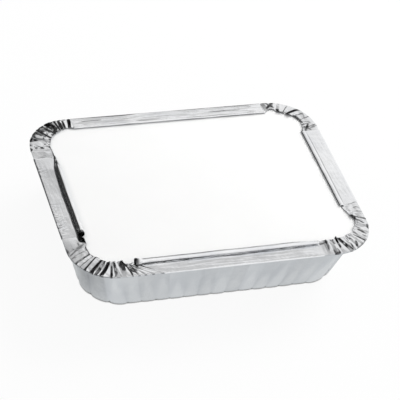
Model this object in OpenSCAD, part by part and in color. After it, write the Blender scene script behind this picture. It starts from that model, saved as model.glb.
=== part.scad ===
// Rectangular foil tray, closed with a card lid under its folded and gathered rim.
// Millimetres, Z up, X along the length. The origin is on the table, under the middle of the tray.

/* [Tray] */
// Length over the folded rim
tray_l = 170; // [150:1:220]
// Width over the folded rim
tray_w = 130; // [110:1:160]
// Height from the table to the ledge that carries the lid
ledge_h = 32; // [24:0.5:48]
// Corner radius of the folded rim, seen from above
rim_r = 24.5; // [20:0.5:32]
// Thickness of the foil
foil_t = 0.1; // [0.08:0.01:0.16]

/* [Base and wall] */
// Distance from the rim in to the foot of the wall
foot_inset = 12.4; // [9:0.1:18]
// Corner radius at the foot of the wall
foot_r = 21.5; // [18:0.5:28]
// Radius of the edge between base and wall
edge_r = 1.8; // [1:0.1:3]
// Width of the flat foot that the tray stands on
foot_w = 5; // [3:0.5:7]
// Height that the middle of the base is pressed up
panel_rise = 1; // [0.5:0.1:2]
// Width of the slope from the foot up to the pressed middle
panel_slope = 1.6; // [1:0.1:3]
// Spacing of the upright flutes along a side
flute_pitch = 9.4; // [7:0.1:14]
// Depth of a flute at the foot of the wall
flute_d = 0.8; // [0.2:0.05:1.1]

/* [Folded rim] */
// Width of the ledge under the lid
ledge_w = 5.8; // [4:0.1:7.5]
// Width of the lip that is folded in over the lid, along the left side, where it is widest
lip_w = 11.2; // [9:0.1:13]
// Width of the lip along the back side
back_lip_w = 9.2; // [8:0.1:12]
// Width of the lip along the front side
front_lip_w = 10.5; // [8:0.1:12]
// Width of the lip along the right side
right_lip_w = 10.8; // [8:0.1:12]
// Diameter of the curl along the back edge of the lip, where it is pressed
back_curl_d = 1.1; // [0.8:0.1:2.4]
// Diameter of the curl along the left side, which has sprung open
left_curl_d = 3.6; // [1.8:0.1:4]
// Diameter of the curl along the front side
front_curl_d = 2.7; // [1.2:0.1:3]
// Diameter of the curl along the right side
right_curl_d = 1.3; // [0.8:0.1:2.4]
// Diameter at the pointed end of the left curl, beside the back left corner
tip_d = 1.2; // [0.8:0.1:1.6]
// Diameter of the front curl's end that flares beside the front left corner
flare_d = 4.2; // [2.8:0.1:4.6]
// Length over which a curl narrows or flares at such an end
flare_l = 4.5; // [2:0.5:8]
// Length of straight lip that each corner gathers into pleats, beyond the bend
gather_reach = 7.5; // [5:0.5:10]
// Width of the lip where it is gathered
gather_w = 10.4; // [8:0.1:11.5]
// Spacing of the pleats along the outer edge
pleat_pitch = 3.1; // [2.4:0.1:4.5]
// Height of a full pleat at the inner edge
pleat_h = 1.5; // [0.6:0.1:2]
// Depth of the nicks that the pleats leave in the outer edge
nick_d = 0.35; // [0.1:0.05:0.4]

/* [Lid] */
// Thickness of the card
card_t = 0.5; // [0.35:0.05:0.9]
// Clearance under and over the card
seat_gap = 0.1; // [0.05:0.05:0.3]
// Distance from the outer edge of the rim to the edge of the card
lid_inset = 1.2; // [1:0.1:2]

/* [Hidden] */

// The section is drawn along the middle of the foil
half_t = foil_t/2;
foot_z = half_t;
ledge_z = ledge_h - half_t;
lid_z = ledge_h + seat_gap;
lip_z = lid_z + card_t + seat_gap + half_t;
fold_r = (lip_z - ledge_z)/2;

// A lap round the outline is 8 long: each corner is 1 and each side after it is 1
corners = 4;
lap = 2*corners;
side_x = tray_l - 2*rim_r;
side_y = tray_w - 2*rim_r;
bend = rim_r*PI/2;

// Facets of the bends, the diameter of a curl pressed flat in a gather, how uneven the pleats are,
// and the share of the lip's width at which its middle line lies
corner_creases = 3;
crease_steps = 3;
curl_steps = 6;
curl_turn = 60;
pressed_d = 0.65;
curl_start = 1.2;
lean = 0.25;
low_pleat = 0.5;
lip_middle = 0.45;
pleat_fade = 6;
seed = 17;
lid_fn = 120;

// How deep the flutes are at each height of the wall, as [share of the height, share of the depth]
flute_fade = [[0.06, 1], [0.3, 0.85], [0.62, 0.3], [0.86, 0]];

function side_len(q) = q % 2 == 0 ? side_x : side_y;
function wrap(q) = ((q % corners) + corners) % corners;
function mix(a, b, share) = a + (b - a)*share;

// Centre of corner q of an outline that lies inset from the rim and has corners of radius r
function corner_centre(q, inset, r) =
    let (k = wrap(q))
    [(k == 0 || k == 3 ? 1 : -1)*(tray_l/2 - inset - r), (k < 2 ? 1 : -1)*(tray_w/2 - inset - r)];
function on_bend(q, share, inset, r) =
    let (a = 90*(q + share))
    corner_centre(q, inset, r) + r*[cos(a), sin(a)];
function on_outline(place, inset, r) =
    let (q = floor(place/2), u = place - 2*q)
    u <= 1 ? on_bend(q, u, inset, r) : mix(on_bend(q, 1, inset, r), on_bend(q + 1, 0, inset, r), u - 1);

// Right-hand normals of a section line, stretched at its corners so that the foil keeps its thickness
function unit(v) = v/norm(v);
function right_of(v) = [v[1], -v[0]];
function skin_normals(line) =
    [for (i = [0 : len(line) - 1])
        let (before = right_of(unit(line[max(i, 1)] - line[max(i, 1) - 1])),
            after = right_of(unit(line[min(i + 1, len(line) - 1)] - line[min(i + 1, len(line) - 1) - 1])),
            middle = unit(before + after))
        middle/(middle*before)];

// Places round the wall as [place, share of the flute depth]
function flutes(q) = max(2, round(side_len(q)/flute_pitch));
wall_places = [for (q = [0 : corners - 1])
    each concat(
        [for (k = [0 : corner_creases*crease_steps - 1])
            [2*q + k/(corner_creases*crease_steps), k % crease_steps == 0 ? 1 : 0]],
        [for (k = [0 : 2*flutes(q) - 1]) [2*q + 1 + k/(2*flutes(q)), k % 2 == 0 ? 1 : 0]])];

// Lines of the wall and base, from the middle outwards.
// Each is [inset, corner radius, height, share of the flute depth].
wall_top = [ledge_w, rim_r - ledge_w, ledge_z, 0];
wall_foot = [foot_inset, foot_r, foot_z, 1];
wall_lines = concat(
    [
        foot_line(foot_w + panel_slope, foot_z + panel_rise, 0),
        foot_line(foot_w, foot_z, 0),
        foot_line(edge_r, foot_z, 0.3),
        foot_line(edge_r*0.35, foot_z + edge_r*0.3, 0.7)
    ],
    [for (f = flute_fade) let (l = mix(wall_foot, wall_top, f[0])) [l[0], l[1], l[2], f[1]]],
    [wall_top]);
function foot_line(in, z, depth) = [foot_inset + in, foot_r - in, z, depth];
wall_normals = skin_normals([for (l = concat(wall_lines, [[fold_r, 0, ledge_z, 0]])) [-l[0], l[2]]]);

function wall_ring(i, skin) =
    let (l = wall_lines[i], shift = skin*half_t*wall_normals[i])
    [for (p = wall_places)
        let (in = p[1]*l[3]*flute_d, at = on_outline(p[0], l[0] - shift[0] + in, l[1] + shift[0] - in))
        [at[0], at[1], l[2] + shift[1]]];

// Places round the rim, gathers and sides in turn.
// Each is [place, pleat height, nick, diameter of the curl, lip width, lean].
pleats = round((bend + 2*gather_reach)/pleat_pitch);
uneven = rands(0, 1, 3*corners*(2*pleats + 1), seed);
function chance(q, k, n) = uneven[3*(q*(2*pleats + 1) + k) + n];
function at_length(q, mm) =
    mm < 0 ? 2*q + mm/side_len(q + 1)
    : mm <= bend ? 2*q + mm/bend
    : 2*q + 1 + (mm - bend)/side_len(q);
function gather_place(q, k) =
    let (share = k/(2*pleats), ridge = k % 2, edge = min(1, pleat_fade*min(share, 1 - share)))
    [
        at_length(q, mix(-gather_reach, bend + gather_reach, share)),
        ridge*edge*mix(low_pleat, 1, chance(q, k, 0)),
        (1 - ridge)*edge,
        pressed_d,
        mix(gather_w - pressed_d, gather_w, chance(q, k, 1)),
        edge*mix(-lean, lean, chance(q, k, 2))*(bend + 2*gather_reach)/bend/(2*pleats)
    ];

// The lip of each side that follows a corner: back, left, front and right.
// Each is [width, diameter of the curl at its start, along its middle, at its end].
side_lips = [
    [back_lip_w, back_curl_d, back_curl_d, back_curl_d],
    [lip_w, tip_d, left_curl_d, left_curl_d],
    [front_lip_w, flare_d, front_curl_d, front_curl_d],
    [right_lip_w, right_curl_d, right_curl_d, right_curl_d]
];
function side_place(q, share, d) =
    let (start = (gather_reach + curl_start)/side_len(q))
    [2*q + 1 + mix(start, 1 - start, share), 0, 0, d, side_lips[q][0], 0];
function side_places(q) =
    let (lip = side_lips[q], flare = flare_l/(side_len(q) - 2*(gather_reach + curl_start)))
    [for (s = [[0, lip[1]], [flare, lip[2]], [0.5, lip[2]], [1 - flare, lip[2]], [1, lip[3]]])
        side_place(q, s[0], s[1])];
rim_places = [for (q = [0 : corners - 1])
    each concat([for (k = [0 : 2*pleats]) gather_place(q, k)], side_places(q))];

// Lines of the rim, from the ledge to the curl.
// Each is [inset, height, share of the pleat height, share of the nick].
rim_lines = [
    [fold_r + half_t, ledge_z, 0, 0.4],
    [half_t, (ledge_z + lip_z)/2, 0, 1],
    [fold_r + half_t, lip_z, 0.1, 0.6],
    [lip_w*lip_middle, lip_z, 0.6, 0],
];
curl_angles = [for (k = [0 : curl_steps - 1]) -90 + k*curl_turn];
function curl_point(a, width, d) = [width - d/2 + d/2*cos(a), lip_z + d/2 + d/2*sin(a)];
function rim_point(i, p) =
    i < len(rim_lines) ? [rim_lines[i][0] + p[2]*nick_d*rim_lines[i][3], rim_lines[i][1]]
    : curl_point(curl_angles[i - len(rim_lines)], p[4], p[3]);
rim_count = len(rim_lines) + curl_steps;
plain_place = side_place(1, 0, left_curl_d);
rim_normals = skin_normals([for (i = [-1 : rim_count - 1])
    let (s = i < 0 ? [ledge_w, ledge_z] : rim_point(i, plain_place)) [-s[0], s[1]]]);

function rim_ring(i, skin) =
    let (shift = skin*half_t*rim_normals[i + 1],
        lift = pleat_h*(i < len(rim_lines) ? rim_lines[i][2] : 1))
    [for (p = rim_places)
        let (s = rim_point(i, p), in = s[0] - shift[0],
            at = on_outline(p[0] + p[5]*in/lip_w, in, rim_r - in))
        [at[0], at[1], s[1] + shift[1] + lift*p[1]]];

// The foil's skins in one run: the outside from the middle of the base to the curl, then the inside
wall_count = len(wall_lines);
rings = concat(
    [for (i = [0 : wall_count - 1]) wall_ring(i, 1)],
    [for (i = [0 : rim_count - 1]) rim_ring(i, 1)],
    [for (i = [rim_count - 1 : -1 : 0]) rim_ring(i, -1)],
    [for (i = [wall_count - 1 : -1 : 0]) wall_ring(i, -1)]);
starts = [for (i = 0, n = 0; i < len(rings); n = n + len(rings[i]), i = i + 1) n];
total = starts[len(rings) - 1] + len(rings[len(rings) - 1]);

// Triangles between two rings, which may have different numbers of points.
// Where the numbers are equal, both skins are cut along the same diagonals.
wall_at = [for (p = wall_places) p[0]];
rim_at = [for (p = rim_places) p[0]];
function middles(at) = [for (k = [0 : len(at) - 1]) (at[k] + (k + 1 < len(at) ? at[k + 1] : at[0] + lap))/2];
function below(list, x, tie) = len([for (m = list) if (m < x || tie && m == x) m]);
function ring_at(i) = len(rings[i]) == len(wall_at) ? wall_at : rim_at;
function next(k, n) = (k + 1) % n;
function even_strip(a, b, n, outside) =
    [for (k = [0 : n - 1]) each outside
        ? [[a + k, b + k, a + next(k, n)], [a + next(k, n), b + k, b + next(k, n)]]
        : [[a + k, b + k, b + next(k, n)], [a + k, b + next(k, n), a + next(k, n)]]];
function uneven_strip(a, b, at_a, at_b) =
    let (na = len(at_a), nb = len(at_b), ma = middles(at_a), mb = middles(at_b))
    concat(
        [for (k = [0 : na - 1]) [a + k, b + below(mb, ma[k], false) % nb, a + next(k, na)]],
        [for (k = [0 : nb - 1]) [b + next(k, nb), a + below(ma, mb[k], true) % na, b + k]]);
function strip(i) =
    len(rings[i]) == len(rings[i + 1])
    ? even_strip(starts[i], starts[i + 1], len(rings[i]), i < len(rings)/2)
    : uneven_strip(starts[i], starts[i + 1], ring_at(i), ring_at(i + 1));

module tray() {
    n = len(wall_places);
    last = starts[len(rings) - 1];
    panel_z = foot_z + panel_rise;
    bottom = [for (k = [0 : n - 1]) [total, k, next(k, n)]];
    inside = [for (k = [0 : n - 1]) [total + 1, last + next(k, n), last + k]];
    color("silver")
        polyhedron(
            points = concat([for (r = rings) each r], [[0, 0, panel_z - half_t], [0, 0, panel_z + half_t]]),
            faces = concat(bottom, [for (i = [0 : len(rings) - 2]) each strip(i)], inside),
            convexity = 10);
}

// Flat rounded plate that lies inset from the rim
module plate(inset) {
    r = rim_r - inset;
    square([tray_l - 2*rim_r, tray_w - 2*inset], center = true);
    square([tray_l - 2*inset, tray_w - 2*rim_r], center = true);
    for (q = [0 : corners - 1]) translate(corner_centre(q, inset, r)) circle(r, $fn = lid_fn);
}

module lid() {
    color("white") translate([0, 0, lid_z]) linear_extrude(card_t) plate(lid_inset);
}

tray();
lid();
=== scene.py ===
# %% [markdown]
# # A closed foil tray
#
# The object is a shallow tray pressed from one sheet of aluminium foil, shut with a plain white card.
# The rim of the foil is folded in over the card. Along the straight sides it ends in a rolled curl, and at
# each corner there is too much foil for the bend, so it is gathered into sharp pleats.
#
# Two pieces are made here: the foil and the card. The lengths in this lesson are millimetres, and they are
# turned into metres only when a mesh is made.

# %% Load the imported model
import math

import bpy
import numpy as np
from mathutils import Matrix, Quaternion, Vector


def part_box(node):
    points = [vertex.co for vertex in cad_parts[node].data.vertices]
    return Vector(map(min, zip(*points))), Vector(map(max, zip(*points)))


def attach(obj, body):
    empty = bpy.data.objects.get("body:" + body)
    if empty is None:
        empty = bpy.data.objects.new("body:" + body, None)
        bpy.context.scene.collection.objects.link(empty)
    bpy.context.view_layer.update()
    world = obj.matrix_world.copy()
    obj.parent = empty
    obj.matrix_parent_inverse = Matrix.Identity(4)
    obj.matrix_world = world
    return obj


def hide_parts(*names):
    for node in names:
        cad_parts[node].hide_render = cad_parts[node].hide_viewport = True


MM = 0.001
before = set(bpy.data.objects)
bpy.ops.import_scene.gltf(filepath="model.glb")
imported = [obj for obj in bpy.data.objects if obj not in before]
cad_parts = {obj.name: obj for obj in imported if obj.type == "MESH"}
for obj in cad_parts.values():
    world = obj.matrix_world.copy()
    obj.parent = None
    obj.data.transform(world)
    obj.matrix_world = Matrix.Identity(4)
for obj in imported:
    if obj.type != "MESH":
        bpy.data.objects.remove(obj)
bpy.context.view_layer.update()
tray_low, tray_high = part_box("tray")
lid_low, lid_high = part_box("lid")
print("tray", [round(v / MM, 2) for v in tray_high - tray_low], "mm")
print("lid", [round(v / MM, 2) for v in lid_high - lid_low], "mm")

# %% [markdown]
# ## Sizes
#
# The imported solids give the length, the width and the heights of the card. The rest are the sizes of the
# press tool and of the folded rim, so that the dressed foil lies where the plain solid lies.

# %% The sizes of the foil and the card
LENGTH = (tray_high.x - tray_low.x) / MM
WIDTH = (tray_high.y - tray_low.y) / MM
FOIL = 0.1
SEAT_GAP = 0.1
LID_LOW = lid_low.z / MM
LID_TOP = lid_high.z / MM
LEDGE_Z = LID_LOW - SEAT_GAP - FOIL / 2
LIP_Z = LID_TOP + SEAT_GAP + FOIL / 2
FOLD_R = (LIP_Z - LEDGE_Z) / 2
RIM_R = 24.5
BEND = RIM_R * math.pi / 2
LEDGE_W = 5.8
FOOT_INSET = 12.6
FOOT_R = 21.5
SIDES = (WIDTH - 2 * RIM_R, LENGTH - 2 * RIM_R)
print(f"ledge at {LEDGE_Z:.2f}, lip at {LIP_Z:.2f}, bend {BEND:.1f} mm long at each corner")

# %% [markdown]
# ## Walking round the outline
#
# Every ring of the tray is a rounded rectangle. It could be drawn as a curve and bevelled, but the pleats
# need points exactly where the folds are, so the outline is a function instead. A place is a number from
# 0 to 8: each corner is one unit long and each side after it is one unit. The function turns a place, a
# distance in from the rim and a corner radius into x and y, for whole arrays at once.

# %% The outline as a function of place, inset and corner radius
CORNERS = 4
LAP = 2 * CORNERS
SIGN_X = np.array([1, -1, -1, 1])
SIGN_Y = np.array([1, 1, -1, -1])


def side_length(corner):
    """Length of the straight side that follows a corner: the back and front are long, the ends are short."""
    return SIDES[1] if corner % 2 == 0 else SIDES[0]


def bend_point(corner, share, inset, radius):
    """A point on a corner's bend, at a share of its quarter turn."""
    corner = corner % CORNERS
    angle = np.radians(90 * (corner + share))
    x = SIGN_X[corner] * (LENGTH / 2 - inset - radius) + radius * np.cos(angle)
    y = SIGN_Y[corner] * (WIDTH / 2 - inset - radius) + radius * np.sin(angle)
    return x, y


def outline(place, inset, radius):
    """x and y of places round a rounded rectangle that lies inset from the rim."""
    place, inset, radius = np.broadcast_arrays(np.asarray(place, float) % LAP, inset, radius)
    corner = np.floor(place / 2).astype(int)
    share = place - 2 * corner
    bend_x, bend_y = bend_point(corner, np.minimum(share, 1), inset, radius)
    next_x, next_y = bend_point(corner + 1, 0, inset, radius)
    along = np.maximum(share - 1, 0)
    return bend_x + (next_x - bend_x) * along, bend_y + (next_y - bend_y) * along


def place_at(corner, mm):
    """The place that lies mm along the rim from the start of a corner's bend, before or after it too."""
    if mm < 0:
        return 2 * corner + mm / side_length(corner - 1)
    if mm <= BEND:
        return 2 * corner + mm / BEND
    return 2 * corner + 1 + (mm - BEND) / side_length(corner)


print("the lap starts at", [round(float(v), 1) for v in outline(0, 0, RIM_R)])

# %% [markdown]
# ## The gathered corners
#
# On the real tray a corner's foil is pushed in by a tool and buckles into pleats. Each pleat is a ridge
# with a long gentle face and a short steep one, and runs from the folded edge to the free edge of the lip.
# A noise texture can't make such folds, because their creases are straight and sharp. So each crease is a
# column of the mesh, which starts at one place on the outer edge and ends at another on the inner edge.
#
# A fold is written as seven numbers: where its ridge meets the outer edge, where it meets the inner edge
# (both in millimetres along the rim from the start of the bend), how high it stands at the outer and at the
# inner edge, how wide its steep face is, and how dark the painted shade of that face is at its outer and its
# inner end, from 0 to 1. A negative width puts the steep face before the ridge. "Start" and "end" say where
# along the rim the gathered part begins and stops, "dent" how crumpled the foil is between the folds, and
# "edge" how far in the free edge of the lip lies, at points along the rim.
#
# This darkness is painted shade: a deep pleat mirrors its own walls again and again, and every time some
# light is lost. One could leave that to the renderer, but it follows only a few mirror steps.

# %% The folds of each corner, and the inner edge of the lip there
GATHERS = {
    "back_right": dict(
        start=-3.6, end=41.0, dent=0.16,
        folds=[
            (1.2, -1.6, 0.4, 0.6, 1.2, 0.5, 1.0), (3.6, 2.0, 0.1, 0.6, 1.6, 0.0, 1.0),
            (9.2, 9.0, 0.3, 0.1, 0.8, 0.5, 0.0), (12.6, 15.6, 0.3, 0.4, 1.1, 0.3, 0.5),
            (15.8, 20.2, 0.8, 0.9, 3.0, 1.0, 1.0), (24.4, 25.6, 0.1, 0.4, 0.9, 0.0, 0.5),
            (30.0, 30.0, 0.2, 0.6, 1.6, 0.0, 1.0), (33.6, 35.6, 0.7, 0.5, 2.0, 1.0, 0.4),
            (39.6, 38.2, 0.7, 0.2, 2.2, 1.0, 0.3),
        ],
        edge=[
            (-3.6, 10.2), (0, 9.4), (8, 8.6), (17, 8.2), (22, 9.6), (26, 8.6), (32, 8.8), (34, 6.6),
            (38.5, 6.6), (41, 9.2),
        ],
    ),
    "back_left": dict(
        start=-3.8, end=45.6, dent=0.34,
        folds=[
            (-3.2, -2.6, 0.7, 0.5, 1.4, 1.0, 0.6), (0.4, 0.6, 0.3, 0.5, 1.2, 0.2, 0.9),
            (3.0, 3.2, 0.4, 0.8, 1.4, 0.1, 1.0), (5.8, 6.0, 0.6, 0.5, 1.0, 0.7, 0.3),
            (10.0, 8.2, 1.6, 1.0, 3.2, 1.0, 0.4), (16.8, 12.8, 0.5, 0.7, 0.9, 0.3, 0.2),
            (19.4, 21.0, 0.7, 0.5, 0.9, 0.4, 0.4), (24.2, 24.0, 0.9, 0.2, 1.1, 0.8, 0.1),
            (28.8, 26.4, 1.4, 1.0, 2.0, 1.0, 0.9), (34.0, 33.8, 0.3, 0.3, 0.8, 0.1, 0.1),
            (38.6, 40.0, 0.6, 0.4, 0.9, 0.5, 0.4),
        ],
        edge=[(-3.8, 8.6), (0, 8.4), (4, 9.2), (10, 10.2), (20, 11.0), (30, 11.6), (40, 11.8), (45.6, 12.0)],
    ),
    "front_left": dict(
        start=-8.6, end=47.0, dent=0.28,
        folds=[
            (4.2, -2.6, 0.3, 0.9, 1.0, 0.5, 0.9), (7.8, 4.0, 0.2, 0.3, -0.8, 0.4, 0.1),
            (11.8, 10.2, 0.4, 0.4, -1.3, 0.6, 0.5), (14.8, 13.8, 0.2, 0.3, -0.8, 0.1, 0.3),
            (18.2, 17.0, 0.5, 0.5, -1.2, 0.8, 0.7), (22.8, 24.4, 0.7, 0.7, -2.2, 0.8, 0.8),
            (25.2, 27.2, 0.5, 0.6, -1.9, 0.9, 0.7), (28.4, 31.2, 0.8, 0.8, -2.3, 0.8, 0.8),
            (33.2, 33.6, 0.5, 0.3, -1.2, 0.6, 0.0), (36.2, 36.2, 0.2, 0.3, -1.6, 0.0, 0.3),
            (41.2, 41.2, 0.2, 0.8, -2.2, 0.0, 0.9), (44.6, 42.4, 0.3, 0.2, -0.9, 0.5, 0.2),
            (48.2, 43.2, 0.3, 0.2, -1.1, 0.8, 0.3), (51.8, 44.0, 0.3, 0.2, -1.2, 0.8, 0.3),
            (56.0, 44.6, 0.3, 0.2, -1.3, 0.9, 0.2), (61.0, 45.2, 0.3, 0.2, -1.4, 0.8, 0.1),
        ],
        edge=[
            (-8.6, 12.2), (0, 11.6), (10, 11.0), (15, 11.4), (19, 12.2), (24, 11.6), (31, 11.0),
            (37, 12.0), (41, 11.8), (42.6, 9.4), (45.4, 9.2), (47.0, 10.6),
        ],
    ),
    "front_right": dict(
        start=-9.0, end=50.6, dent=0.38,
        folds=[
            (-5.2, -4.4, 0.1, 0.5, -1.5, 0.1, 0.9), (-0.8, -0.8, 0.7, 0.1, -2.0, 0.8, 0.0),
            (3.2, 3.4, 0.1, 0.8, -1.7, 0.0, 1.0), (8.2, 6.6, 0.7, 0.6, -1.4, 1.0, 0.6),
            (10.4, 11.2, 0.4, 0.1, -1.0, 0.8, 0.0), (13.4, 15.4, 0.2, 0.3, -1.1, 0.3, 0.6),
            (17.4, 19.0, 0.3, 0.4, -1.3, 0.6, 0.6), (21.8, 22.8, 0.5, 0.1, -1.8, 0.8, 0.0),
            (28.2, 28.8, 0.2, 0.4, -1.2, 0.2, 0.2), (33.6, 33.0, 0.5, 0.3, -1.6, 0.7, 0.6),
            (36.0, 37.0, 0.3, 0.5, 1.2, 0.2, 0.4), (39.0, 41.0, 0.4, 0.4, 1.0, 0.5, 0.3),
            (42.6, 44.0, 0.3, 0.2, 0.8, 0.4, 0.1), (45.6, 45.6, 0.3, 0.2, 0.7, 0.3, 0.0),
            (49.0, 47.2, 0.3, 0.0, 0.8, 0.3, 0.0), (52.8, 49.2, 0.25, 0.0, 0.7, 0.2, 0.0),
        ],
        edge=[
            (-9.0, 10.8), (0, 11.6), (3, 12.4), (6, 11.6), (12, 10.8), (17, 10.6), (22, 9.4), (30, 8.8),
            (34, 7.6), (39, 7.4), (43, 8.8), (50.6, 11.0),
        ],
    ),
}
GATHER_NAMES = list(GATHERS)
print("folds:", {name: len(gather["folds"]) for name, gather in GATHERS.items()})

# %% [markdown]
# ## Pinched places
#
# Some of the foil in a corner isn't folded in a neat line. It is pinched into short deep slits, crossed
# folds and little hollows, and these look black, because no light comes out of them. Each one could be a
# hole in the mesh, but slits a tenth of a millimetre wide need far more points than the rest of the tray.
# Here the shade of each is painted on the metal as a short dark line: two ends, each as millimetres along
# the rim and in from its edge, then half its width in millimetres and how dark it is.

# %% The painted shade of the pinched places of each corner
PINCHES = {
    "back_right": [
        (0.5, 0.2, -1.4, 5.0, 0.4, 0.7), (2.6, 5.2, -3.0, 8.4, 0.6, 1.0),
        (-2.6, 5.2, 0.8, 8.4, 0.45, 0.9), (9.5, 0.0, 9.3, 3.2, 0.25, 0.6),
        (13.0, 2.5, 15.0, 5.2, 0.3, 0.6), (17.0, 0.0, 19.4, 3.2, 0.7, 1.0),
        (19.4, 3.2, 21.2, 7.4, 0.9, 1.0), (22.4, 7.6, 30.0, 8.2, 0.35, 0.7),
        (25.0, 2.8, 25.6, 7.0, 0.3, 0.5), (31.5, 6.4, 30.2, 8.2, 1.3, 1.0),
        (34.2, 0.4, 38.8, 5.2, 0.85, 1.0), (38.8, 0.4, 34.4, 5.0, 0.75, 1.0),
        (5.6, 7.8, 17.0, 7.4, 0.8, 0.95), (5.0, 3.0, 6.4, 6.6, 0.35, 0.7),
        (8.6, 4.4, 13.8, 1.6, 0.3, 0.6),
    ],
    "back_left": [
        (-3.4, 0.5, -2.0, 5.6, 0.55, 1.0), (1.6, 5.2, 5.0, 6.2, 1.4, 0.55),
        (5.6, 0.2, 6.4, 5.0, 0.35, 0.7), (12.2, 1.0, 11.0, 3.2, 1.2, 1.0),
        (11.0, 3.2, 8.8, 5.4, 0.9, 1.0), (8.8, 5.4, 12.0, 8.2, 0.35, 0.8),
        (18.0, 0.5, 13.6, 7.0, 0.3, 0.6), (20.5, 1.0, 22.0, 9.0, 0.3, 0.5),
        (25.0, 1.0, 26.5, 3.2, 0.5, 1.0), (30.4, 0.5, 27.2, 7.0, 0.9, 1.0),
        (27.2, 7.0, 29.2, 9.2, 0.5, 0.8), (39.0, 1.0, 40.4, 11.0, 0.3, 0.45),
        (45.4, 3.0, 44.0, 7.2, 0.3, 0.5), (33.4, 3.0, 35.0, 6.0, 0.3, 0.5),
    ],
    "front_left": [
        (4.5, 2.0, -2.0, 10.2, 0.4, 0.8), (2.0, 1.0, 5.2, 1.2, 0.6, 0.6), (7.0, 1.0, 7.2, 3.0, 0.5, 0.5),
        (11.5, 2.0, 10.0, 10.0, 0.35, 0.5), (17.6, 2.0, 16.4, 7.2, 0.35, 0.7),
        (21.0, 1.4, 23.2, 11.6, 0.75, 0.95), (24.6, 2.2, 26.6, 9.0, 0.3, 0.7),
        (26.6, 1.4, 30.6, 9.6, 0.9, 0.95), (32.5, 0.8, 32.6, 3.0, 0.7, 0.9),
        (34.6, 1.0, 36.0, 4.0, 0.45, 0.6), (38.0, 1.4, 36.2, 6.8, 0.3, 0.5),
        (41.6, 8.0, 42.2, 11.6, 1.1, 1.0), (44.4, 2.0, 43.2, 8.6, 0.3, 0.4),
        (47.4, 1.8, 44.6, 8.2, 0.3, 0.4),
    ],
    "front_right": [
        (-9.4, 8.8, -5.4, 9.4, 0.4, 0.9), (-5.2, 4.0, -4.4, 10.2, 0.5, 0.8),
        (-2.4, 0.6, 0.2, 0.8, 0.5, 1.0), (-2.8, 3.0, -2.2, 0.8, 0.4, 0.9),
        (0.4, 1.0, -0.4, 3.6, 0.4, 0.9), (-0.6, 8.0, -2.2, 12.0, 0.5, 0.8),
        (2.4, 8.6, 2.6, 12.8, 0.8, 1.0), (6.2, 11.0, 7.4, 6.0, 0.35, 0.8),
        (7.4, 6.0, 8.6, 1.0, 0.75, 1.0), (9.0, 5.0, 9.6, 8.0, 0.3, 0.4),
        (12.0, 0.35, 20.0, 0.35, 0.3, 0.7), (12.5, 1.5, 15.4, 4.2, 0.7, 0.95),
        (14.5, 6.0, 14.6, 8.0, 0.5, 0.7), (16.9, 9.0, 17.2, 10.4, 0.5, 0.8),
        (20.0, 1.0, 20.2, 7.4, 0.7, 1.0), (26.0, 2.0, 28.0, 6.2, 0.7, 1.0),
        (31.0, 0.6, 33.4, 0.8, 0.9, 0.95), (35.0, 3.0, 38.8, 6.0, 0.6, 0.9),
        (38.6, 0.0, 42.4, 8.6, 0.65, 1.0), (38.8, 7.0, 42.2, 7.6, 1.2, 1.0),
        (32.0, 3.0, 36.0, 6.8, 0.8, 0.35), (10.4, 3.0, 10.9, 5.0, 0.4, 0.9),
        (11.8, 7.4, 12.6, 9.4, 0.4, 0.8), (14.0, 9.2, 15.0, 10.2, 0.35, 0.8),
        (23.2, 1.0, 23.6, 3.0, 0.4, 0.8), (22.6, 6.2, 23.6, 8.4, 0.4, 0.8),
        (29.4, 5.4, 30.6, 8.0, 0.5, 0.8), (44.6, 0.6, 46.0, 4.2, 0.3, 0.5),
        (47.6, 0.8, 49.4, 3.6, 0.3, 0.45), (52.0, 0.8, 53.4, 3.4, 0.25, 0.4),
    ],
}
PINCH_SOFT = 0.35
PINCH_TAPER = 0.35


def pinch_shade(run, inset, pinches):
    """How dark the painted shade of the pinched places makes each point, from 0 to 1."""
    dark = np.zeros_like(run)
    for run_a, inset_a, run_b, inset_b, half, strength in pinches:
        along = np.array([run_b - run_a, inset_b - inset_a])
        share = np.clip(((run - run_a) * along[0] + (inset - inset_a) * along[1]) / (along @ along), 0, 1)
        away = np.hypot(run - run_a - share * along[0], inset - inset_a - share * along[1])
        thinned = half * (1 - PINCH_TAPER * np.abs(2 * share - 1))
        dark = np.maximum(dark, strength * np.clip(1 - (away - thinned) / PINCH_SOFT, 0, 1))
    return dark


print("pinched places:", {name: len(pinches) for name, pinches in PINCHES.items()})
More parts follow.
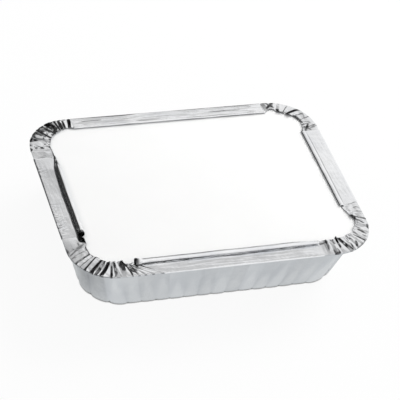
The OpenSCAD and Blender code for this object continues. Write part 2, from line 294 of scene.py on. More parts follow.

# %% [markdown]
# ## The flaps and their curls
#
# Between the corners the lip is nearly flat, and its edge is a curl: the edge of the sheet was rolled when
# the tray was pressed, to keep it stiff and safe to touch. After the lip is folded in, the curl lies on top.
# The four curls aren't equally tight. The ones at the back and on the right are still closed, and the right
# one is pressed flat. The left one has sprung open to a wide roll with a pointed far end, and the front one
# flares like a trumpet at its left end, where one looks into it.
#
# A curl could be a bevelled curve, but then it would be a second piece. Here it is the last part of the same
# section, so each side only states how wide its lip is, the radius of its curl, how flat it is pressed, how
# far it turns in degrees, and how its two ends differ: by what factor they are wider, over how many
# millimetres, and how far they turn. "Rise" is how high the lip has sprung up under the curl, at points
# spread evenly from one end to the other. The last four numbers say how dark the painted shade in the mouth
# of the roll is at its wider end, how strong the cross wrinkles and the long streaks of the flap are, and
# how dark the painted shade in the groove along the foot of the roll is.

# %% The lip and the curl of each side, in the order of the lap
CURLS = {
    "back": dict(width=9.2, radius=0.52, flat=1.0, turn=290, start=0.9, end=0.9, start_reach=4,
                 end_reach=4, start_turn=290, end_turn=290, rise=(0.0, 0.0), mouth_painted_shade=0.0, wrinkle=0.0,
                 streak=1.0, foot=0.0),
    "left": dict(width=12.5, radius=1.7, flat=1.0, turn=320, start=0.35, end=1.15, start_reach=6,
                 end_reach=2, start_turn=320, end_turn=380, rise=(1.0, 0.8, 0.1, -0.1, -0.1, 0.1, 0.5),
                 mouth_painted_shade=1.0, wrinkle=0.6, streak=0.2, foot=0.0),
    "front": dict(width=10.5, radius=1.35, flat=1.0, turn=295, start=1.55, end=0.7, start_reach=3,
                  end_reach=8, start_turn=350, end_turn=295, rise=(0.1, 0.4), mouth_painted_shade=1.0, wrinkle=0.25,
                  streak=0.6, foot=0.0),
    "right": dict(width=11.6, radius=1.4, flat=0.28, turn=290, start=1.0, end=0.9, start_reach=3,
                  end_reach=4, start_turn=290, end_turn=290, rise=(0.0, 0.0), mouth_painted_shade=0.0, wrinkle=0.0,
                  streak=0.15, foot=0.6),
}
SIDE_NAMES = list(CURLS)
GATHER_CURL_R = 0.42
GATHER_TURNS = (10, 110)
print("curl diameters", {name: 2 * curl["radius"] for name, curl in CURLS.items()}, "mm")

# %% [markdown]
# ## Columns of the rim
#
# The rim is one grid: its columns go round the tray, and its rows go along the section, from the ledge
# round the fold, across the lip and round the curl. The next cells make the columns. Each column knows its
# place on the outer edge, half way and on the inner edge, its lift, the width of the lip, and the radius
# and turn of its curl. Between two creases the values change evenly, which gives each pleat flat faces.
# The place half way is moved a little to one side, because a crease in thin foil is seldom quite straight.
#
# At both ends of a flap its dents, streaks and lift die out over about a centimetre, so that little of a
# seam shows between it and the gathered corner. The columns stand closer together there too, for the ends of
# the roll.

# %% The creases of a corner, in order
CHANCE_SEED = 8
STEEP_SPREAD = 1.25
VALLEY_SHARES = (0, 0.12)
CREASE_GAP = 0.25
rng = np.random.default_rng(CHANCE_SEED)


def creases_of(gather):
    """Ridge and valley lines of a corner, as (outer, inner, two lifts, two painted shades), in order."""
    lines = [(gather["start"], gather["start"], 0.0, 0.0, 0.0, 0.0)]
    for outer, inner, outer_lift, inner_lift, steep, *shades in gather["folds"]:
        ridge = (outer, inner, outer_lift, inner_lift)
        share = rng.uniform(*VALLEY_SHARES)
        valley = (outer + steep, inner + STEEP_SPREAD * steep, share * outer_lift, share * inner_lift)
        first, second = (ridge, valley) if steep > 0 else (valley, ridge)
        lines += [(*first, *shades), (*second, 0.0, 0.0)]
    lines.append((gather["end"], gather["end"], 0.0, 0.0, 0.0, 0.0))
    return lines


def kept_in_order(values):
    """The values, each moved up where it is less than a small gap after the one before."""
    kept = [values[0]]
    for value in values[1:]:
        kept.append(max(value, kept[-1] + CREASE_GAP))
    return kept


print("between two folds the foil falls to at most", VALLEY_SHARES[1], "of the fold's height")

# %% The columns of each corner
FACE_STEPS = 6
CREASE_BOW = 0.35
DENT_RAMP = 4.0


def corner_columns(corner):
    """Columns of a corner: places, lifts, width, curl, dent, wrinkle, streak, painted shades, and where it
    is.
    """
    gather = GATHERS[GATHER_NAMES[corner]]
    outers, inners, outer_lifts, inner_lifts, outer_shades, inner_shades = zip(*creases_of(gather))
    outers, inners = np.array(kept_in_order(outers)), np.array(kept_in_order(inners))
    bows = rng.uniform(-CREASE_BOW, CREASE_BOW, len(outers))
    middles = kept_in_order((outers + inners) / 2 + bows)
    turns = rng.uniform(*GATHER_TURNS, len(outers))
    creases = np.array([outers, middles, inners, outer_lifts, inner_lifts, turns])
    steps = np.arange(0, creases.shape[1] - 1 + 0.5 / FACE_STEPS, 1 / FACE_STEPS)
    filled = [np.interp(steps, np.arange(creases.shape[1]), line) for line in creases]
    face = np.minimum(steps.astype(int), len(outers) - 1)
    ramp = np.clip(np.minimum(filled[2] - gather["start"], gather["end"] - filled[2]) / DENT_RAMP, 0, 1)
    edge_at, edge_in = np.array(gather["edge"]).T
    return [(place_at(corner, outer), place_at(corner, middle), place_at(corner, inner), outer_lift,
             inner_lift, np.interp(inner, edge_at, edge_in), GATHER_CURL_R, 1.0, turn,
             gather["dent"] * inward, 0.0, 0.0, outer_shades[at], inner_shades[at], 0.0,
             corner, outer, inner)
            for outer, middle, inner, outer_lift, inner_lift, turn, at, inward in zip(*filled, face, ramp)]


corner_sets = [corner_columns(corner) for corner in range(CORNERS)]
print("columns in each corner:", [len(corner_set) for corner_set in corner_sets])

# %% The columns of the flaps, and all of them in the order of the lap
SIDE_STEP = 1.1
END_STEPS = (0.1, 0.5, 1.0, 1.6, 2.3, 3.2, 4.3)
RISE_RAMP = 15.0
CALM_RAMP = 7.0
MOUTH_REACH = 2.2


def side_columns(corner, first_outer, last_outer):
    """Columns of the flap that follows a corner, up to the first crease of the next corner."""
    curl = CURLS[SIDE_NAMES[corner]]
    gather, next_gather = (GATHERS[GATHER_NAMES[at % CORNERS]] for at in (corner, corner + 1))
    first_inner = place_at(corner, gather["end"])
    last_inner = place_at(corner + 1, next_gather["start"])
    flap_mm = (last_inner - first_inner) * side_length(corner)
    middle = np.arange(END_STEPS[-1] + SIDE_STEP, flap_mm - END_STEPS[-1] - 0.5 * SIDE_STEP, SIDE_STEP)
    columns = []
    for from_start in (*END_STEPS, *middle, *(flap_mm - step for step in reversed(END_STEPS))):
        from_end = flap_mm - from_start
        share = from_start / flap_mm
        near_start = math.exp(-((from_start / curl["start_reach"]) ** 2))
        near_end = math.exp(-((from_end / curl["end_reach"]) ** 2))
        swell = 1 + (curl["start"] - 1) * near_start + (curl["end"] - 1) * near_end
        curl_turn = curl["turn"] + (curl["start_turn"] - curl["turn"]) * near_start
        curl_turn += (curl["end_turn"] - curl["turn"]) * near_end
        inner = first_inner + (last_inner - first_inner) * share
        outer = first_outer + (last_outer - first_outer) * share
        risen = np.interp(share, np.linspace(0, 1, len(curl["rise"])), curl["rise"])
        ramp = min(1, from_start / RISE_RAMP, from_end / RISE_RAMP)
        risen *= ramp * ramp * (3 - 2 * ramp)
        # Painted shade in the mouth of the roll, at its wider end.
        open_end = from_start if curl["start"] > curl["end"] else from_end
        mouth_painted_shade = curl["mouth_painted_shade"] * math.exp(-((open_end / MOUTH_REACH) ** 4))
        calm = min(1, from_start / CALM_RAMP, from_end / CALM_RAMP)
        # The painted shade of the groove at the roll's foot goes where a fold's outer shade goes, and that
        # of the mouth where its inner shade goes.
        columns.append((outer, (outer + inner) / 2, inner, 0.0, risen, curl["width"], curl["radius"] * swell,
                        curl["flat"], curl_turn, 0.0, calm * curl["wrinkle"], calm * curl["streak"],
                        curl["foot"] * calm, mouth_painted_shade, calm, -1, 0.0, 0.0))
    return columns


columns, open_after = [], []
for corner in range(CORNERS):
    columns += corner_sets[corner]
    open_after.append(len(columns) - 1)
    first_outer = corner_sets[corner][-1][0]
    last_outer = corner_sets[(corner + 1) % CORNERS][0][0]
    if last_outer < first_outer:
        last_outer += LAP
    columns += side_columns(corner, first_outer, last_outer)
    open_after.append(len(columns) - 1)
columns = np.array(columns)
print(len(columns), "columns, with the curl open at", len(open_after), "ends")

# %% [markdown]
# ## Crumpled foil
#
# Between the big folds the foil is dented into small flat facets. Smooth noise would look like molten metal,
# so this height is a sum of triangle waves in several directions: each wave is made of straight slopes, and
# where they cross, the surface is flat facets with sharp creases, as in crumpled foil.

# %% A height made of flat facets
DENT_SIZES = (5.2, 3.4, 2.3, 1.5)
CREASE_SWAY = 0.35
SWAY_RATE = 0.21


def facets(x, y, seed):
    """Height from about -1 to 1 at each point, made of straight slopes."""
    dice = np.random.default_rng(seed)
    height = np.zeros_like(x)
    for size in DENT_SIZES:
        angle, phase = dice.uniform(0, math.pi), dice.uniform(0, 1)
        run = (x * math.cos(angle) + y * math.sin(angle)) / size + phase
        sway = CREASE_SWAY * np.sin(SWAY_RATE * (x - y) + 6 * phase)
        height += size * (4 * np.abs((run + sway) % 1 - 0.5) - 1)
    return height / sum(DENT_SIZES)


print("facet heights from", round(float(facets(np.arange(50.0), np.zeros(50), 1).min()), 2))

# %% [markdown]
# ## The rim as one grid
#
# Each row of the section is a distance in from the rim and a height. The first rows go round the fold that
# wraps the edge of the card, the next ones cross the lip, and the last ones climb round the curl. A pleat
# rises quickly from the folded edge to its outer lift, and then changes evenly to its lift at the inner
# edge. Facets are added between the pleats, and much shallower ones on the flaps, which are never flat.

# %% The values of the columns, and how uneven their outer edge and curl are
CURL_UNEVEN = 0.28
UNEVEN_EVERY = 3
NICK = 0.35
NICK_GONE_AT = 0.7
outer_at, middle_at, inner_at, outer_lift, inner_lift, width, curl_r, flat, turn = columns.T[:9]
dent, wrinkle, streak, outer_shade, inner_shade, loose, corner_of, outer_run, inner_run = columns.T[9:]
column_count = len(columns)
gathered = (corner_of >= 0).astype(float)
knots = np.arange(0, column_count, UNEVEN_EVERY)
uneven = np.interp(np.arange(column_count), knots, rng.uniform(-1, 1, len(knots)))
curl_r = curl_r * (1 + CURL_UNEVEN * gathered * uneven)
nick = NICK * gathered * (1 - np.minimum(1, outer_lift / NICK_GONE_AT))
print(int(gathered.sum()), "columns in the corners, nicked by up to", round(float(nick.max()), 2), "mm")

# %% Rows of the rim, from the ledge to the curl
FOLD_TURNS = np.radians([-90, -45, 0, 45, 90])
FOLD_LIFT = np.array([0, 0, 0.05, 0.15, 0.25])
LIP_STEPS = 16
RISE_REACH = 0.09
CURL_STEPS = 12
CURL_TIGHTENS = 0.12
seat = FOLD_R + FOIL / 2

rim_inset, rim_height, rim_share = [], [], []
for angle, share in zip(FOLD_TURNS, FOLD_LIFT):
    rim_inset.append(seat - FOLD_R * math.cos(angle) + nick * math.cos(angle))
    rim_height.append((LEDGE_Z + LIP_Z) / 2 + FOLD_R * math.sin(angle) + outer_lift * share)
    rim_share.append(np.zeros(column_count))
for step in range(1, LIP_STEPS + 1):
    t = step / LIP_STEPS
    risen = 1 - (1 - FOLD_LIFT[-1]) * math.exp(-t / RISE_REACH)
    rim_inset.append(seat + (width - curl_r - seat) * t)
    rim_height.append(LIP_Z + risen * (outer_lift + (inner_lift - outer_lift) * t))
    rim_share.append(np.full(column_count, t))
for step in range(1, CURL_STEPS + 1):
    angle = np.radians(-90 + turn * step / CURL_STEPS)
    radius = curl_r * (1 - CURL_TIGHTENS * step / CURL_STEPS)
    rim_inset.append(width - curl_r + radius * np.cos(angle))
    rim_height.append(LIP_Z + inner_lift + flat * (curl_r + radius * np.sin(angle)))
    rim_share.append(np.ones(column_count))
rim_inset, rim_height, rim_share = (np.array(rows) for rows in (rim_inset, rim_height, rim_share))
print(len(rim_share), "rows, of which", len(FOLD_TURNS), "round the fold and", CURL_STEPS, "round the curl")

# %% Where the points of the rim lie, with their dents
WAVE = 0.06
WAVE_TURNS = ((23.0, 0.0), (41.0, 1.3))
CORNER_DENT_SEED, FLAP_DENT_SEED = 3, 5
DENT_RAISE = 0.5
FLAP_DENT = 0.09
bend_at = middle_at - (outer_at + inner_at) / 2
rim_place = outer_at + (inner_at - outer_at) * rim_share + 4 * bend_at * rim_share * (1 - rim_share)
rim_x, rim_y = outline(rim_place, rim_inset, RIM_R - rim_inset)
dents = facets(rim_x, rim_y, CORNER_DENT_SEED)
waves = sum(np.sin(outer_at * rate + phase) for rate, phase in WAVE_TURNS)
rim_height += dent * rim_share * (dents + DENT_RAISE) + loose * WAVE * rim_share * waves
rim_height += loose * FLAP_DENT * np.sin(math.pi * rim_share) * facets(rim_x, rim_y, FLAP_DENT_SEED)
print("rim grid", rim_x.shape, "height", *(round(float(v), 2) for v in (rim_height.min(), rim_height.max())))

# %% [markdown]
# ## The fluted wall
#
# The wall is pressed with upright flutes, which make thin foil stiff. Each flute is widest and deepest at
# the foot and dies out towards the rim, so it looks like a pointed arch, with a sharp pinch between two of
# them. The wall could be a plain cone with a bump map, but the foot of the tray would then be a straight
# line, and in the real one it is scalloped.
#
# The steep wall mirrors only the white table, so its form hardly shows. So its light and shade are painted:
# a "tone" is kept for each point, a painted highlight on the crest of a flute and painted shade between two,
# and each flute and each flat panel of a corner gets a little painted shade of its own, a random amount for
# each flute, more in the left front corner and along the creases between its panels, because it mirrors the
# room from a slightly different side.

# %% Places round the wall, and how far each flute stands out
FLUTE_PITCH = 9.4
FLUTE_STEPS = 10
FLUTE_OUT = 0.5
FLUTE_DEPTHS = (0.6, 1.3)
FLUTE_TOPS = (0.55, 0.85)
FLUTE_FADE = 0.3
# Painted shade: a random amount for each flute, as it mirrors the room from its own side.
FLUTE_SHADES = (0.0, 0.12)
NOTCH = 0.25
NOTCH_TOP = 0.3
NOTCH_WIDTH = 0.25
NOTCH_EDGE = 2
CORNER_STEPS = 24
CORNER_CREASES = (0, 9, 17, 24)
CORNER_DEPTH = 1.6
# Painted shade for each flat panel of a corner, most in the left front one, and a line of it along each
# crease between two panels.
PANEL_SHADES = ((0.05, 0.0, 0.06), (0.0, 0.05, 0.0), (0.26, 0.20, 0.0), (0.0, 0.05, 0.0))
CREASE_SHADE = 1.3


def flute_shape(across, up, top):
    """How far a flute stands out. Across runs from -1 to 1 between two notches, up from 0 at the foot."""
    span = np.maximum(1 - up / top, 1e-6)
    arch = np.where(up < top, span * np.sqrt(np.maximum(0, 1 - (across / span) ** 2)), 0)
    notch = np.maximum(0, 1 - up / NOTCH_TOP) * np.maximum(0, 1 - (1 - np.abs(across)) / NOTCH_WIDTH)
    return arch - NOTCH * notch


def flute_light_and_shade(across, up, top):
    """Painted highlight and shade of a flute: 1 on its crest, -1 in the notch between two, and 0 above them.
    """
    span = np.maximum(1 - up / top, 1e-6)
    inside = np.sqrt(np.maximum(0, 1 - (across / span) ** 2))
    between = -np.minimum(1, NOTCH_EDGE * (np.abs(across) - span))
    return np.where(np.abs(across) < span, inside, between) * np.clip((top - up) / FLUTE_FADE, 0, 1)


wall_columns = []
for corner in range(CORNERS):
    for first, last, panel_shade in zip(CORNER_CREASES, CORNER_CREASES[1:], PANEL_SHADES[corner]):
        for step in range(first, last):
            place = 2 * corner + step / CORNER_STEPS
            across = 2 * (step - first) / (last - first) - 1
            crease_line_shade = CREASE_SHADE * panel_shade if step == first > 0 else 0.0
            wall_columns.append((place, across, CORNER_DEPTH, FLUTE_TOPS[1], panel_shade, crease_line_shade))
    flutes = round(side_length(corner) / FLUTE_PITCH)
    for flute in range(flutes):
        depth, peak, dark = rng.uniform(*FLUTE_DEPTHS), rng.uniform(*FLUTE_TOPS), rng.uniform(*FLUTE_SHADES)
        for step in range(FLUTE_STEPS):
            place = 2 * corner + 1 + (flute + step / FLUTE_STEPS) / flutes
            wall_columns.append((place, 2 * step / FLUTE_STEPS - 1, depth, peak, dark, 0.0))
wall_place, wall_across, wall_depth, wall_peak, wall_painted_shade, wall_crease_shade = np.array(wall_columns).T
wall_count = len(wall_columns)
print(wall_count, "places round the wall")

# %% [markdown]
# ## The base and the wall
#
# The base stands on a flat foot, and inside it a low panel is raised, which keeps so thin a sheet from
# buckling. The base could be a plate of its own, but the real tray is one sheet. So the rings of the wall go
# on inwards, round the soft edge of the foot and over the panel, and end in one point in the middle.

# %% Rings of the base and the wall, from the middle outwards
FOOT_W = 5.0
PANEL_RISE = 1.0
PANEL_SLOPE = 1.6
EDGE_R = 1.8
BASE_Z = FOIL / 2
PANEL_Z = BASE_Z + PANEL_RISE
FOOT_Z = BASE_Z + EDGE_R * 0.4
LEAST_R = 1.0
WALL_STEPS = 14
base_rings = [
    (40.0, PANEL_Z), (20.0, PANEL_Z), (FOOT_W + PANEL_SLOPE + 0.4, PANEL_Z),
    (FOOT_W + PANEL_SLOPE, BASE_Z + PANEL_RISE * 0.92), (FOOT_W + 0.3, BASE_Z + PANEL_RISE * 0.08),
    (FOOT_W, BASE_Z), (EDGE_R, BASE_Z), (EDGE_R * 0.5, BASE_Z + EDGE_R * 0.13), (EDGE_R * 0.2, FOOT_Z),
]
wall_rings, wall_flute_light, wall_shades = [], [], []
for inward, height in base_rings:
    near_foot = max(0, 1 - inward / FOOT_W)
    out = FLUTE_OUT * wall_depth * flute_shape(wall_across, 0, wall_peak) * near_foot
    x, y = outline(wall_place, FOOT_INSET + inward - out, np.maximum(FOOT_R - inward, LEAST_R) + out)
    wall_rings.append((x, y, np.full_like(x, height)))
    wall_flute_light.append(np.zeros_like(x))
    wall_shades.append(wall_painted_shade * near_foot)
for step in range(1, WALL_STEPS + 1):
    up = step / WALL_STEPS
    out = FLUTE_OUT * wall_depth * flute_shape(wall_across, up, wall_peak)
    inset = FOOT_INSET + (LEDGE_W - FOOT_INSET) * up - out
    radius = FOOT_R + (RIM_R - LEDGE_W - FOOT_R) * up + out
    x, y = outline(wall_place, inset, radius)
    wall_rings.append((x, y, np.full_like(x, FOOT_Z + (LEDGE_Z - FOOT_Z) * up)))
    wall_flute_light.append(np.minimum(wall_depth, 1) * flute_light_and_shade(wall_across, up, wall_peak))
    wall_shades.append(wall_painted_shade + wall_crease_shade * up)
print(wall_count, "places in each of", len(wall_rings), "rings of base and wall")

# %% [markdown]
# ## One skin
#
# The rings of the wall have fewer points than the rows of the rim, because the wall has no pleats. A zip of
# triangles joins the two along the ledge. Where a curl ends, its faces are left out between two columns, so
# that the end of the roll is open, as a real one is; its darkness comes partly from that opening and partly
# from painted shade in the mouth of the roll. A Solidify modifier then gives the foil its thickness, and the
# mesh keeps smooth shading except where two faces meet at a sharp crease.

# %% Faces between rings, and an object from points and faces
def ring_faces(first, second, count, skip=()):
    """Four-sided faces between two rings with the same number of points."""
    return [(first + k, first + (k + 1) % count, second + (k + 1) % count, second + k)
            for k in range(count) if k not in skip]


def zip_faces(first, first_at, second, second_at):
    """Triangles between two rings with different numbers of points."""
    faces, i, j = [], 0, 0
    n, m = len(first_at), len(second_at)
    while i < n or j < m:
        next_first = first_at[(i + 1) % n] + LAP * ((i + 1) // n)
        next_second = second_at[(j + 1) % m] + LAP * ((j + 1) // m)
        if i < n and (j == m or next_first <= next_second):
            faces.append((first + i % n, first + (i + 1) % n, second + j % m))
            i += 1
        else:
            faces.append((first + i % n, second + (j + 1) % m, second + j % m))
            j += 1
    return faces


def make_object(name, points, faces):
    """An object from points in millimetres."""
    mesh = bpy.data.meshes.new(name)
    mesh.from_pydata([tuple(float(v) * MM for v in point) for point in points], [], faces)
    mesh.validate()
    obj = bpy.data.objects.new(name, mesh)
    bpy.context.scene.collection.objects.link(obj)
    return obj


print("a zip of 4 points to 3 has", len(zip_faces(0, [0, 2, 4, 6], 4, [0, 3, 6])), "triangles")

# %% Join the rings into a mesh
points = [(0.0, 0.0, PANEL_Z)]
faces = [(0, 1 + (k + 1) % wall_count, 1 + k) for k in range(wall_count)]
for ring, (x, y, z) in enumerate(wall_rings):
    points += list(zip(x, y, z))
    if ring > 0:
        faces += ring_faces(1 + (ring - 1) * wall_count, 1 + ring * wall_count, wall_count)
rim_start = len(points)
faces += zip_faces(rim_start - wall_count, wall_place, rim_start, outer_at)
for x, y, z in zip(rim_x, rim_y, rim_height):
    points += list(zip(x, y, z))
last_lip_row = len(FOLD_TURNS) + LIP_STEPS - 1
for row in range(len(rim_x) - 1):
    first = rim_start + row * column_count
    faces += ring_faces(first, first + column_count, column_count, open_after if row >= last_lip_row else ())
foil = make_object("foil_tray", points, faces)
print(len(points), "points and", len(faces), "faces in the skin")

# %% Give the foil its thickness and its creases
CREASE_ANGLE = math.radians(24)
foil.data.polygons.foreach_set("use_smooth", [True] * len(foil.data.polygons))
foil.data.set_sharp_from_angle(angle=CREASE_ANGLE)
thickness = foil.modifiers.new("foil thickness", "SOLIDIFY")
thickness.thickness = FOIL * MM
thickness.offset = 0
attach(foil, "root")
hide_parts("tray")
sharp = sum(edge.use_edge_sharp for edge in foil.data.edges)
print("foil", thickness.thickness / MM, "mm thick, with", sharp, "sharp edges")

# %% [markdown]
# ## What the finish needs to know
#
# The finish needs to know more than the shape: how far along and how far in each point lies, the tone of the
# wall with its painted highlight and shade, how wrinkled and how streaked a flap is, and how dark the
# painted shade of a fold, a pinched place, the mouth of a roll or the groove at its foot is. One could paint
# this on a picture, but the picture would have to be unwrapped round every fold. Here it is stored on the
# points of the mesh as attributes, which move with it.

# %% The painted shade of the folds, the pinched places, and the mouths and feet of the rolls
# Painted shade: a little grey over the crumpled corners, and the dark of the folds, the pinched places, the
# mouths of the rolls and the grooves at their feet.
GATHER_SHADE = 0.10
SHADE_FROM_DENT = 0.1
FOLD_SHADE = 0.5
MOUTH_FROM = 0.9
FOOT_AT = 2.2
FOOT_LINE = 0.6
lip_shade = FOLD_SHADE * (outer_shade + (inner_shade - outer_shade) * rim_share)
lip_shade += GATHER_SHADE * np.minimum(1, dent / SHADE_FROM_DENT)
rim_run = outer_run + (inner_run - outer_run) * rim_share
for corner, name in enumerate(GATHER_NAMES):
    here = corner_of == corner
    pinched = pinch_shade(rim_run[:, here], rim_inset[:, here], PINCHES[name])
    lip_shade[:, here] = np.maximum(lip_shade[:, here], pinched)
mouth_shade = inner_shade * (rim_share > MOUTH_FROM)
from_foot = np.abs(rim_inset - (width - FOOT_AT * curl_r)) / FOOT_LINE
foot_shade = outer_shade * (rim_share < 1) * np.clip(1 - from_foot, 0, 1)
rim_shade = np.where(gathered > 0, lip_shade, np.maximum(mouth_shade, foot_shade))
print("shade of the rim: mean", round(float(rim_shade.mean()), 3), "most", round(float(rim_shade.max()), 2))

# %% Store what the finish needs to know on the mesh
sheet_run = np.zeros((len(points), 3))
sheet_run[rim_start:, 0] = np.tile(outer_at, len(rim_x)) * (LENGTH + WIDTH) / 4
sheet_run[rim_start:, 1] = rim_inset.ravel()
foil.data.attributes.new("sheet", "FLOAT_VECTOR", "POINT").data.foreach_set("vector", sheet_run.ravel())
# The "flute" mark is the painted highlight and shade of the flutes, and the last mark is the painted shade
# of the wall, the folds, the pinched places and the rolls.
marks = {mark: np.zeros(len(points)) for mark in ("flute", "wrinkle", "streak", "painted_shade")}
marks["flute"][1:rim_start] = np.concatenate(wall_flute_light)
marks["wrinkle"][rim_start:] = np.tile(wrinkle, len(rim_x))
marks["streak"][rim_start:] = np.tile(streak, len(rim_x))
marks["painted_shade"][1:rim_start] = np.concatenate(wall_shades)
marks["painted_shade"][rim_start:] = rim_shade.ravel()
for mark, values in marks.items():
    foil.data.attributes.new(mark, "FLOAT", "POINT").data.foreach_set("value", values)
print("stored: sheet,", ", ".join(marks))

# %% [markdown]
# ## The card lid
#
# The lid is a plain card with rounded corners, and its edge lies under the lip. A flat box would do, but
# card is never quite flat: held all round, it bows a little. So the lid is made of rings from its edge to
# its middle, each a bit higher than the one outside it.

# %% Make the lid
LID_INSET = (LENGTH - (lid_high.x - lid_low.x) / MM) / 2
LID_EDGE = 0.12
LID_SPREAD = (2, 4, 7, 11, 16, 22, 29, 37, 46, 55)
LID_LEAST_R = 2.0
LID_STEPS = (20, 12)
LID_CREASE_ANGLE = math.radians(40)
LID_BOW = 0.3
BOW_FROM = 0.2
lid_lap = np.concatenate([part + np.linspace(0, 1, steps, endpoint=False)
                          for part, steps in enumerate(LID_STEPS)])
lid_place = np.concatenate([2 * corner + lid_lap for corner in range(CORNERS)])
lid_rings = [(LID_EDGE, LID_LOW), (0.0, LID_LOW + LID_EDGE), (0.0, LID_TOP - LID_EDGE), (LID_EDGE, LID_TOP)]
lid_rings += [(inset, LID_TOP) for inset in LID_SPREAD]


def bow(x, y):
    """How far the card bows up: nothing under the lip, and most in the middle."""
    across = np.minimum((LENGTH / 2 - np.abs(x)) / (LENGTH / 2), (WIDTH / 2 - np.abs(y)) / (WIDTH / 2))
    share = np.clip((across - BOW_FROM) / (1 - BOW_FROM), 0, 1)
    return LID_BOW * np.sin(share * math.pi / 2) ** 2


count = len(lid_place)
lid_points, lid_faces = [], []
for ring, (inset, height) in enumerate(lid_rings):
    x, y = outline(lid_place, LID_INSET + inset, max(RIM_R - LID_INSET - inset, LID_LEAST_R))
    lid_points += list(zip(x, y, height + bow(x, y)))
    if ring > 0:
        lid_faces += ring_faces((ring - 1) * count, ring * count, count)
last = len(lid_points) - count
lid_points.append((0.0, 0.0, LID_TOP + LID_BOW))
lid_faces += [(last + k, last + (k + 1) % count, len(lid_points) - 1) for k in range(count)]
lid_faces.append(tuple(reversed(range(count))))
lid = make_object("card_lid", lid_points, lid_faces)
lid.data.polygons.foreach_set("use_smooth", [True] * len(lid.data.polygons))
lid.data.set_sharp_from_angle(angle=LID_CREASE_ANGLE)
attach(lid, "root")
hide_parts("lid")
print("lid", len(lid_points), "points, bowed", LID_BOW, "mm")

# %% [markdown]
# ## The foil's finish
#
# Rolled aluminium is a metal with a fairly low roughness, so it shows blurred pictures of what stands round
# it. Its colour is nearly white with a cold touch and a little lighter in some clouds; on the wall a painted
# highlight lightens the crests of the flutes and painted shade darkens the notches between them. The detail
# is in the surface: faint lines from rolling, shallow dents, short wrinkles across the outer edge of the
# left and front flaps, and long streaks along all four, strongest at the back. Wrinkles and streaks are
# noises stretched along the "sheet" values of the mesh, which say how far along and how far in each point
# lies.
#
# A hollow between two faces of foil swallows light, so painted shade takes the colour nearly to black where
# the mesh's shade mark says so, and where an ambient occlusion node finds other foil less than two
# millimetres away.
#
# A finish is a tree of nodes, and each node takes numbers or what other nodes give. The helpers below let a
# tree be written as sums are: the result of one call goes into the next.

# %% A material, its nodes and their sockets
def new_material(name):
    """A material with an empty node tree, and that tree."""
    material = bpy.data.materials.new(name)
    material.use_nodes = True
    material.node_tree.nodes.clear()
    return material, material.node_tree


def plug(tree, value, socket):
    """Give a socket a number or a colour of its own, or link it to what another node gives."""
    if isinstance(value, bpy.types.NodeSocket):
        tree.links.new(value, socket)
    else:
        socket.default_value = value


def node(tree, kind, **settings):
    """A node with its properties and sockets set by name."""
    made = tree.nodes.new(kind)
    for name, value in settings.items():
        if name in made.inputs.keys():
            plug(tree, value, made.inputs[name])
        else:
            setattr(made, name, value)
    return made


def plugged(tree, made, *values):
    """The first output of a node whose sockets are set in order."""
    for value, socket in zip(values, made.inputs):
        plug(tree, value, socket)
    return made.outputs[0]


def give_finish(piece, material, surface):
    """Give a piece a material, whose tree ends in a surface."""
    node(material.node_tree, "ShaderNodeOutputMaterial", Surface=surface)
    piece.data.materials.append(material)


TREE_HELPERS = (new_material, plug, node, plugged, give_finish)
print("tree helpers:", [helper.__name__ for helper in TREE_HELPERS])

# %% Sums on values
def maths(tree, operation, *values, clamp=False):
    """The result of a sum on numbers or values."""
    return plugged(tree, node(tree, "ShaderNodeMath", operation=operation, use_clamp=clamp), *values)


def times(tree, first, second):
    """The product of two values."""
    return maths(tree, "MULTIPLY", first, second)


def spread(tree, value, low, high, from_low=0.3, from_high=0.7):
    """A value moved to another range: from that of most noises, or from one that is given."""
    ends = {"From Min": from_low, "From Max": from_high, "To Min": low, "To Max": high}
    return node(tree, "ShaderNodeMapRange", Value=value, **ends).outputs["Result"]


print("sum helpers:", [helper.__name__ for helper in (maths, times, spread)])

# %% Where a point lies, what is stored on it, patterns over it, and how open it lies
AO_SAMPLES = 8


def place_on(tree):
    """Where a point lies on its object, in metres."""
    return node(tree, "ShaderNodeTexCoord").outputs["Object"]


def mark_on(tree, name):
    """A value that is stored on the mesh."""
    return node(tree, "ShaderNodeAttribute", attribute_name=name).outputs["Fac"]


def scaled(tree, vector, scale):
    """A vector stretched by a different amount along each axis."""
    return node(tree, "ShaderNodeMapping", Vector=vector, Scale=scale).outputs["Vector"]


def noise(tree, vector, scale=1.0, detail=2.0):
    """The value of a noise texture over a vector."""
    return node(tree, "ShaderNodeTexNoise", Vector=vector, Scale=scale, Detail=detail).outputs["Fac"]


def openness(tree, reach, own=False):
    """How open a point lies, from 0 to 1, to what stands within a reach in millimetres."""
    return node(tree, "ShaderNodeAmbientOcclusion", Distance=reach * MM, samples=AO_SAMPLES,
                only_local=own).outputs["AO"]


print("pattern helpers:", [helper.__name__ for helper in (place_on, mark_on, scaled, noise, openness)])

# %% Colours and bumps
def blended(tree, share, first, second):
    """A colour between two colours."""
    return node(tree, "ShaderNodeMix", data_type="RGBA", Factor=share, A=first, B=second).outputs["Result"]


def bumps(tree, *layers):
    """A normal with bumps on it: each layer is a height and how many millimetres it stands for."""
    normal = {}
    for height, distance in layers:
        made = node(tree, "ShaderNodeBump", Strength=1.0, Distance=distance * MM, Height=height, **normal)
        normal = {"Normal": made.outputs["Normal"]}
    return made.outputs["Normal"]


print("colour helpers:", [helper.__name__ for helper in (blended, bumps)])

